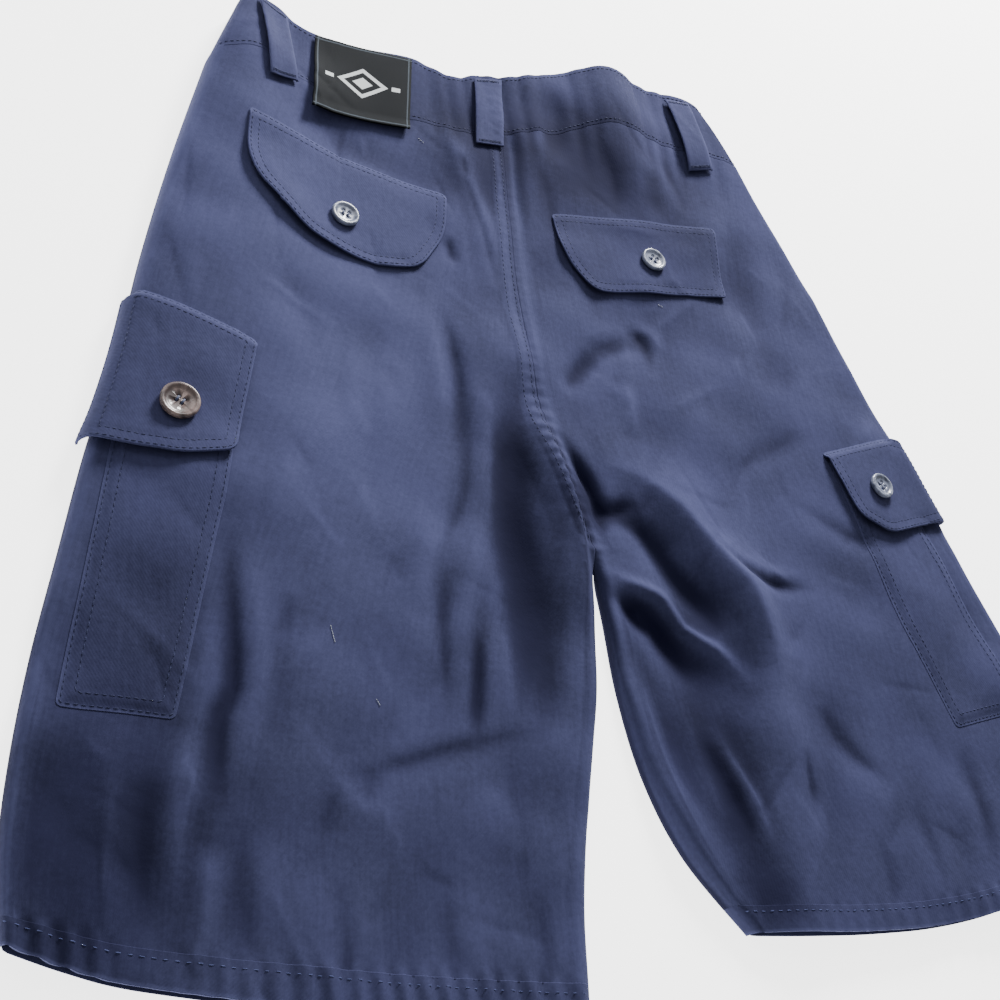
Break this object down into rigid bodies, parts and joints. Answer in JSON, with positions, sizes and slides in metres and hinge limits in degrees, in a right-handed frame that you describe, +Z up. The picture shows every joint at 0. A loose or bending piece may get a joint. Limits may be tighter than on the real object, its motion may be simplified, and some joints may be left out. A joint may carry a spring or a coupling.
{
  "type": "cargo shorts",
  "caption": "Boys' navy cotton twill cargo shorts laid flat, back side up, with flap pockets on the seat and the sides, belt loops and an elasticated waist.",
  "frame": {"origin": "middle of the bounding box on the surface that the shorts lie on", "axes": "+Z up from the surface, out of the back of the shorts; +Y towards the waist; +X to the wearer's right"},
  "size_m": [0.5512, 0.547, 0.0196],
  "materials": {
    "twill": "washed navy cotton twill, matt",
    "woven_label": "dense satin weave with a slight sheen",
    "pearl_button": "pearly grey polyester, polished",
    "horn_button": "brownish pearly polyester, polished"
  },
  "bodies": {
    "root": {"back_left_panel": "twill", "back_right_panel": "twill", "back_left_hem": "twill", "back_right_hem": "twill", "front_left_panel": "twill", "front_right_panel": "twill", "front_left_hem": "twill", "front_right_hem": "twill", "fly_placket": "twill", "waistband_back": "twill", "waistband_front": "twill", "belt_loop_left": "twill", "belt_loop_centre": "twill", "belt_loop_right": "twill", "belt_loop_front_1": "twill", "belt_loop_front_2": "twill", "back_left_flap": "twill", "back_right_flap": "twill", "cargo_left_pocket": "twill", "cargo_right_pocket": "twill", "cargo_left_flap": "twill", "cargo_right_flap": "twill", "label": "woven_label", "button_back_left": "pearl_button", "button_back_right": "pearl_button", "button_cargo_right": "pearl_button", "button_cargo_left": "horn_button", "waist_button": "pearl_button"}
  },
  "joints": []
}
